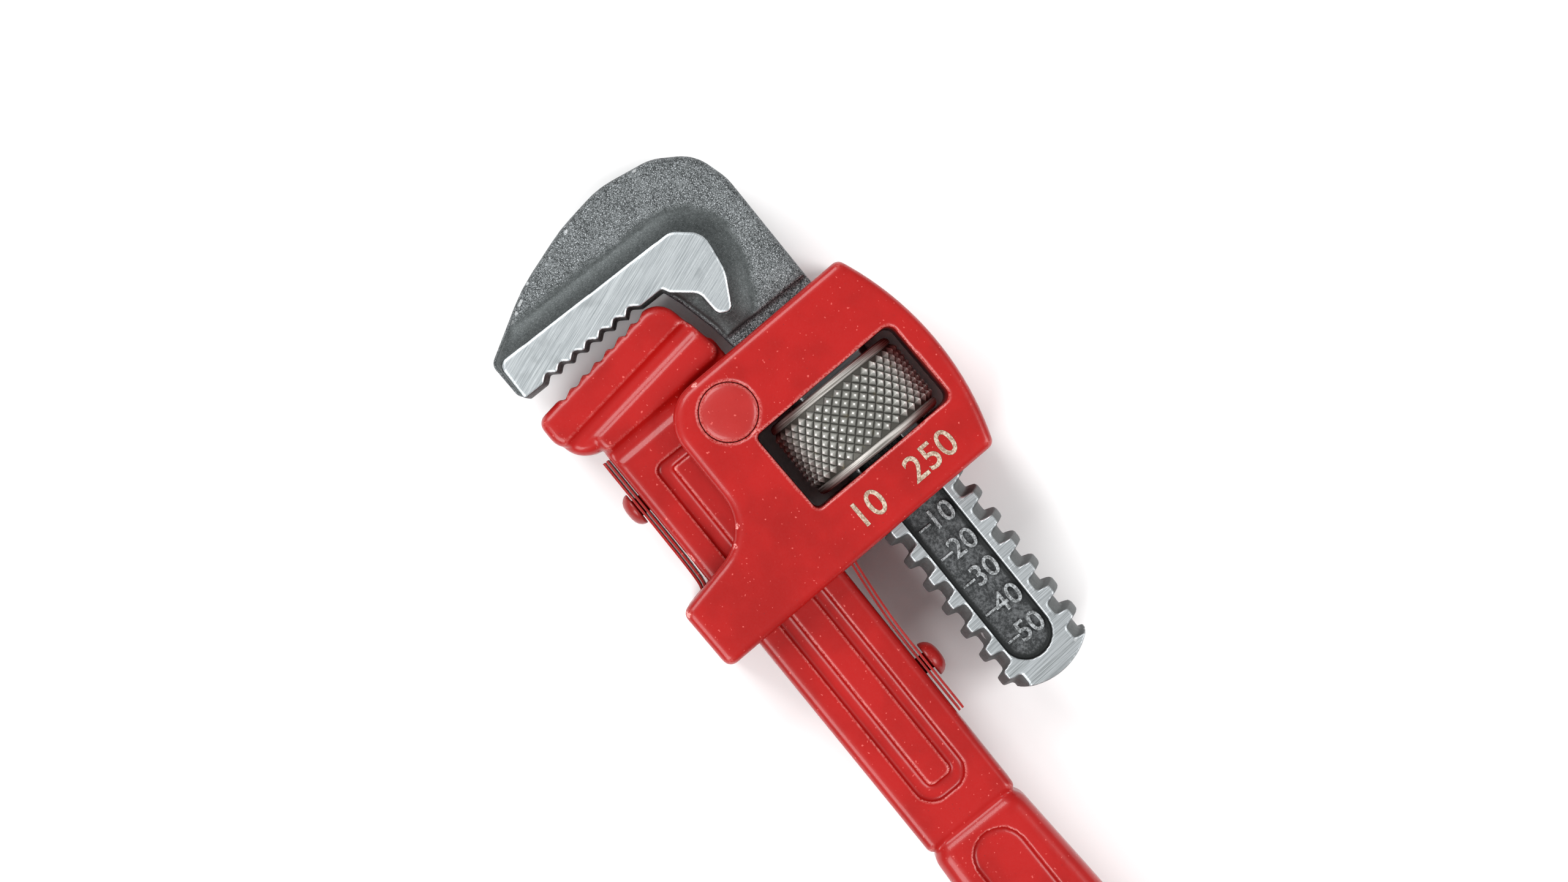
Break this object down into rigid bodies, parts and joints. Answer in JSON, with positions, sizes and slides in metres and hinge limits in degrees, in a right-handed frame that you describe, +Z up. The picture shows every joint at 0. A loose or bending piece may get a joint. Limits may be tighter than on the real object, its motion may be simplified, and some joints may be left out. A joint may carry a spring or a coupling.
{
  "type": "pipe wrench",
  "caption": "Adjustable straight pipe wrench: a knurled nut in a rocking housing drives a toothed hook jaw towards the toothed heel of the handle.",
  "frame": {"origin": "bottom centre of the bounding box with the tool lying flat on its side", "axes": "+X along the handle towards the jaws, +Y across the tool towards the open side of the mouth, +Z up out of the face the picture shows"},
  "size_m": [0.206, 0.0618, 0.0262],
  "materials": {
    "red_paint": "gloss enamel over cast iron",
    "red_spring_paint": "gloss enamel over spring steel",
    "forged_steel": "bare forged steel with ground jaw and thread faces",
    "nut_steel": "bare knurled steel"
  },
  "bodies": {
    "handle": {"handle": "red_paint", "front_spring_rivet": "red_paint", "rear_spring_rivet": "red_paint", "front_spring_inner_leaf": "red_spring_paint", "front_spring_outer_leaf": "red_spring_paint", "rear_spring_inner_leaf": "red_spring_paint", "rear_spring_outer_leaf": "red_spring_paint"},
    "housing": {"housing": "red_paint", "pivot_rivet": "red_paint"},
    "nut": {"adjusting_nut": "nut_steel"},
    "hook_jaw": {"hook_jaw": "forged_steel"}
  },
  "joints": [
    {"name": "housing_rock", "type": "hinge", "parent": "handle", "child": "housing", "pos_m": [0.05985, 0.0038, 0.0131], "axis": [0, 0, 1], "range_deg": [-3, 3], "stiffness_Nm_per_rad": 3, "deforming": ["front_spring_inner_leaf", "front_spring_outer_leaf", "rear_spring_inner_leaf", "rear_spring_outer_leaf"]},
    {"name": "nut_spin", "type": "hinge", "parent": "housing", "child": "nut", "pos_m": [0.04617, -0.0123, 0.0131], "axis": [-1, 0, 0], "range_deg": [-18.1, 3421]},
    {"name": "jaw_slide", "type": "slide", "parent": "housing", "child": "hook_jaw", "axis": [1, 0, 0], "range_m": [-0.00025, 0.04826]}
  ],
  "couplings": [
    {"joint": "nut_spin", "follows": "jaw_slide", "rad_per_m": 1236.8}
  ]
}
